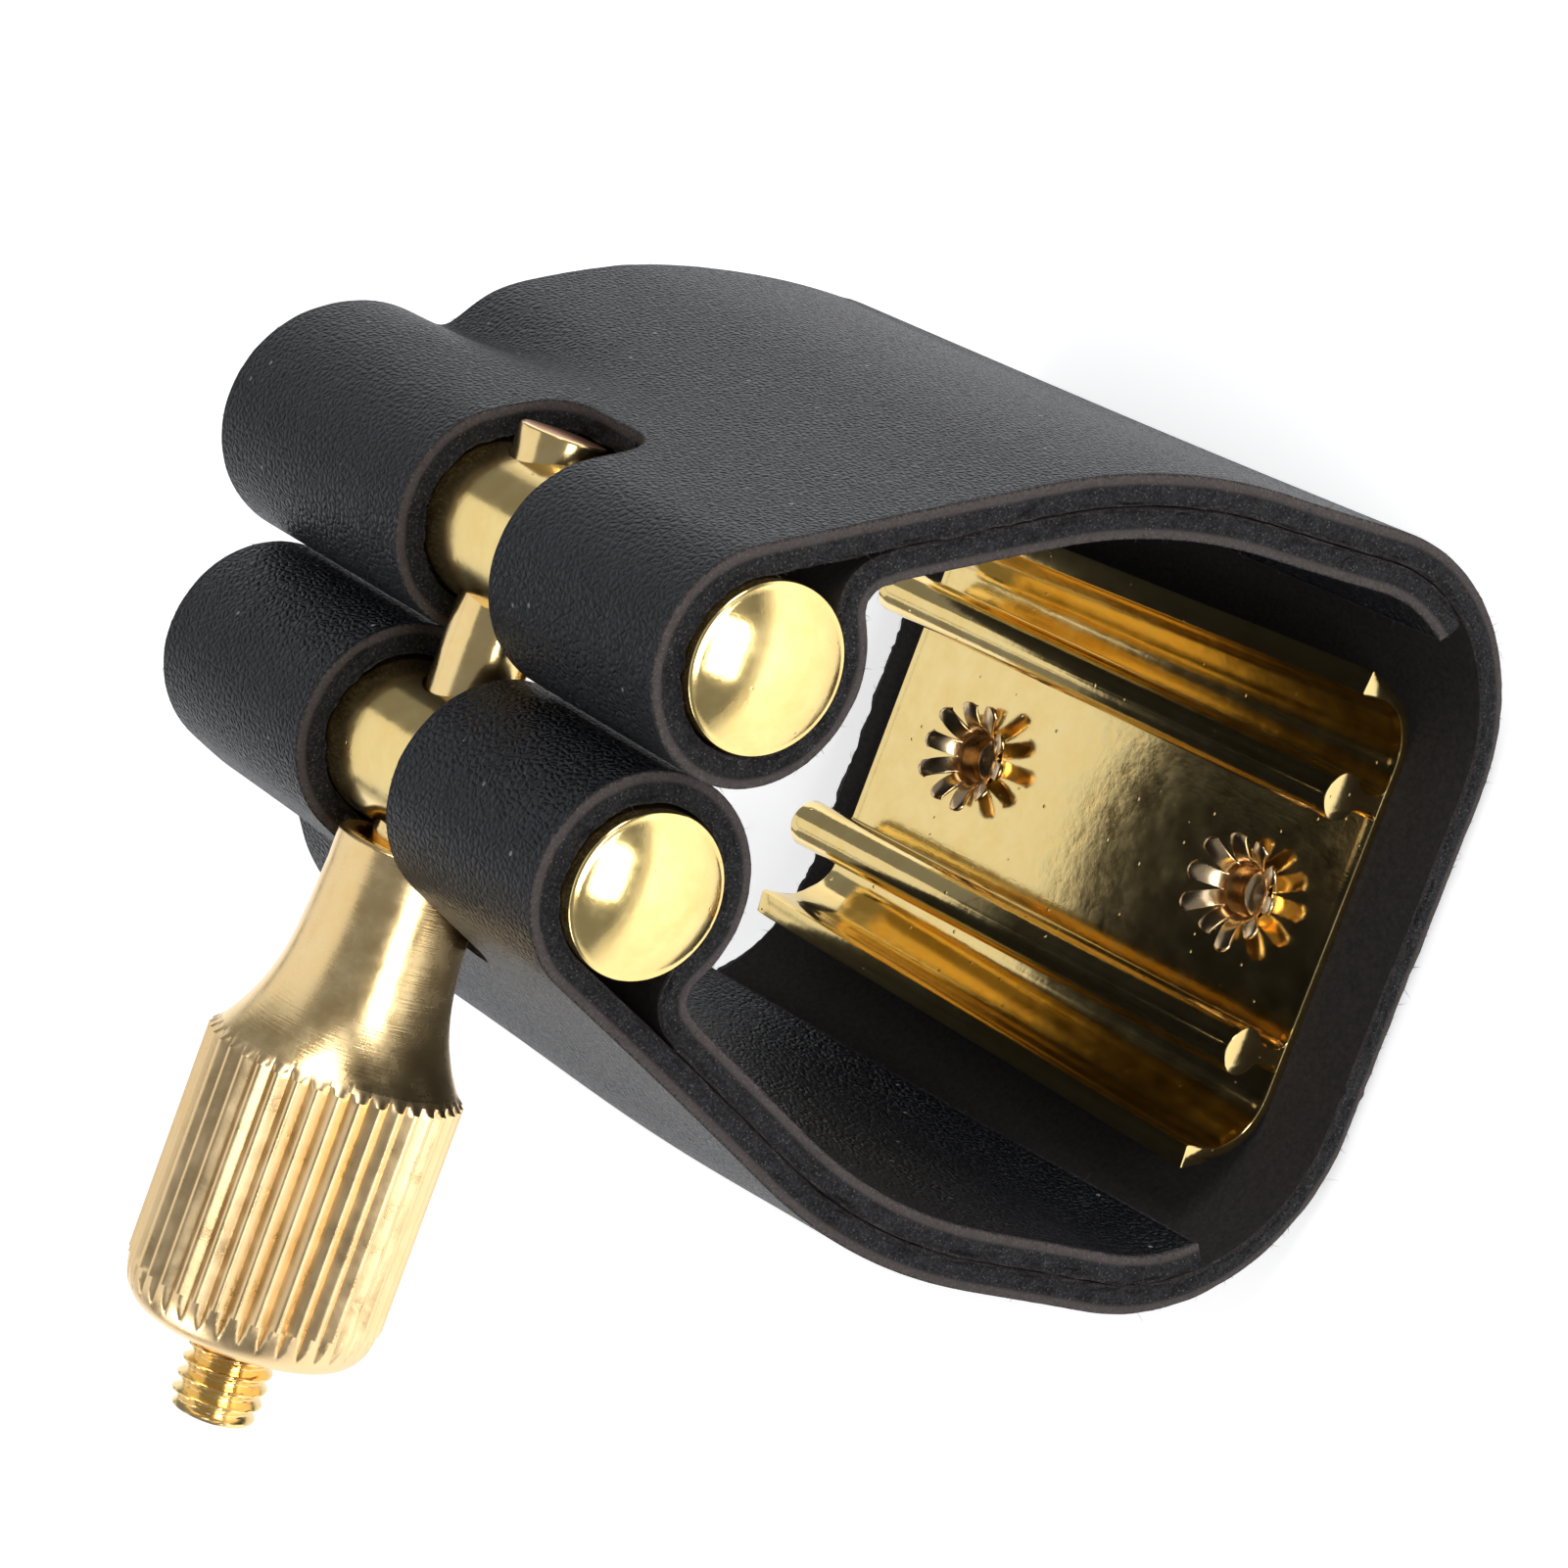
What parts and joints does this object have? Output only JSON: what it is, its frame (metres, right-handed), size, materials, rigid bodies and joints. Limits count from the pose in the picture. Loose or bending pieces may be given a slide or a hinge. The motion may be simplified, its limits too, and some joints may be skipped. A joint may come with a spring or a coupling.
{
  "type": "saxophone ligature",
  "caption": "Leather strap ligature that clamps a reed to a saxophone mouthpiece, drawn closed by a knurled thumb nut on a stud between barrels in its rolled ends.",
  "frame": {"origin": "centre of the mouthpiece opening, on the axis of the mouthpiece it clamps", "axes": "+Z from the reed plate to the barrels, -Y towards the wide front end of the opening, +X from the thumb nut to the anchor barrel"},
  "size_m": [0.0445, 0.037, 0.0367],
  "materials": {
    "strap_leather": "semi-matte, pebbled grain",
    "plated_gold": "polished plating",
    "stud_brass": "turned, plated but for its cut end"
  },
  "bodies": {
    "base": {"strap_base": "strap_leather", "reed_plate": "plated_gold", "eyelet_front": "plated_gold", "eyelet_back": "plated_gold", "anchor_barrel": "plated_gold", "draw_stud": "stud_brass"},
    "sliding_side": {"strap_arm": "strap_leather", "sliding_barrel": "plated_gold"},
    "nut": {"thumb_nut": "plated_gold"}
  },
  "joints": [
    {"name": "strap_opening", "type": "slide", "parent": "base", "child": "sliding_side", "axis": [-1, 0, 0], "range_m": [0, 0.0036]},
    {"name": "nut_turn", "type": "hinge", "parent": "sliding_side", "child": "nut", "pos_m": [-0.016, 0.00334, 0.01401], "axis": [-1, 0, 0], "range_deg": [0, 2160.1]}
  ],
  "couplings": [
    {"joint": "nut_turn", "follows": "strap_opening", "rad_per_m": 10472}
  ]
}
